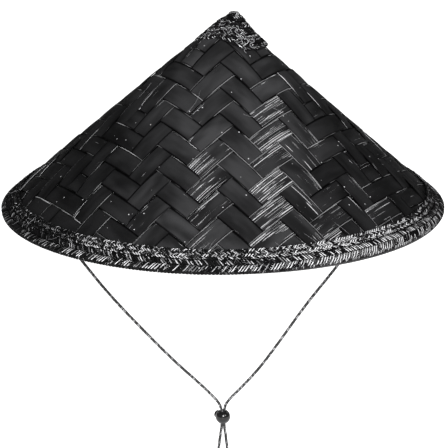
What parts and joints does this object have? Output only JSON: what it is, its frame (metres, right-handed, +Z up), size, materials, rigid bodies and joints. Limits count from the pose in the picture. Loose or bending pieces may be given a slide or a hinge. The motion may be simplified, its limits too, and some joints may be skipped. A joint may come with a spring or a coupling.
{
  "type": "conical hat",
  "caption": "Black woven bamboo conical hat with a plaited brim band and peak cap, an inner head ring, and a chin cord gathered by a sliding ball-shaped cord lock.",
  "frame": {"origin": "centre of the head ring, half way up its inner face", "axes": "+Z up towards the peak, -Y the front, +X the wearer's side on the right of a front view"},
  "size_m": [0.4199, 0.42, 0.4453],
  "materials": {
    "woven_splint": "black-stained split bamboo, satin with scuffed pale fibres",
    "peak_plait": "black-stained plaited splint with pale frayed edges",
    "brim_plait": "black-stained plaited splint with pale edges",
    "edge_binding": "black-stained splint wrapping",
    "cane_hoop": "black-stained cane, satin",
    "ring_splint": "black-stained bent splint, satin",
    "chin_cord": "fine black braid with grey flecks",
    "lock_plastic": "glossy black",
    "button_plastic": "glossy black",
    "spring_steel": "bright wire"
  },
  "bodies": {
    "hat": {"front_left_splints": "woven_splint", "front_right_splints": "woven_splint", "back_splints": "woven_splint", "peak_tip_knot": "peak_plait", "peak_cap_braid": "peak_plait", "peak_edge_braid": "peak_plait", "upper_brim_braid": "brim_plait", "middle_brim_braid": "brim_plait", "lower_brim_braid": "brim_plait", "rim_binding": "edge_binding", "rim_hoop": "cane_hoop", "inner_rim_hoop": "cane_hoop", "inner_rim_lashings": "edge_binding", "inner_edge_braid": "brim_plait", "head_ring_inner_hoop": "ring_splint", "head_ring_outer_hoop": "ring_splint", "head_ring_hangers": "ring_splint", "left_anchor_knot": "chin_cord", "right_anchor_knot": "chin_cord", "left_leg_cord": "chin_cord", "right_leg_cord": "chin_cord"},
    "cord_lock": {"cord_lock_body": "lock_plastic", "cord_lock_spring": "spring_steel"},
    "lock_button": {"cord_lock_button": "button_plastic"},
    "cord_ends": {"left_tail_cord": "chin_cord", "right_tail_cord": "chin_cord", "left_end_knot": "chin_cord", "right_end_knot": "chin_cord"}
  },
  "joints": [
    {"name": "cord_lock_slide", "type": "slide", "parent": "hat", "child": "cord_lock", "axis": [0, 0, 1], "range_m": [-0.03, 0.11], "deforming": ["left_leg_cord", "right_leg_cord"]},
    {"name": "button_press", "type": "slide", "parent": "cord_lock", "child": "lock_button", "axis": [0.6198, -0.7848, 0], "range_m": [0, 0.0016], "stiffness_N_per_m": 800, "springref_m": -0.003, "deforming": ["cord_lock_spring"]},
    {"name": "cord_end_slide", "type": "slide", "parent": "cord_lock", "child": "cord_ends", "axis": [0, 0, 1], "range_m": [-0.08, 0.022], "deforming": ["left_tail_cord", "right_tail_cord"]}
  ],
  "couplings": [
    {"joint": "cord_end_slide", "follows": "cord_lock_slide", "ratio": -0.7}
  ]
}
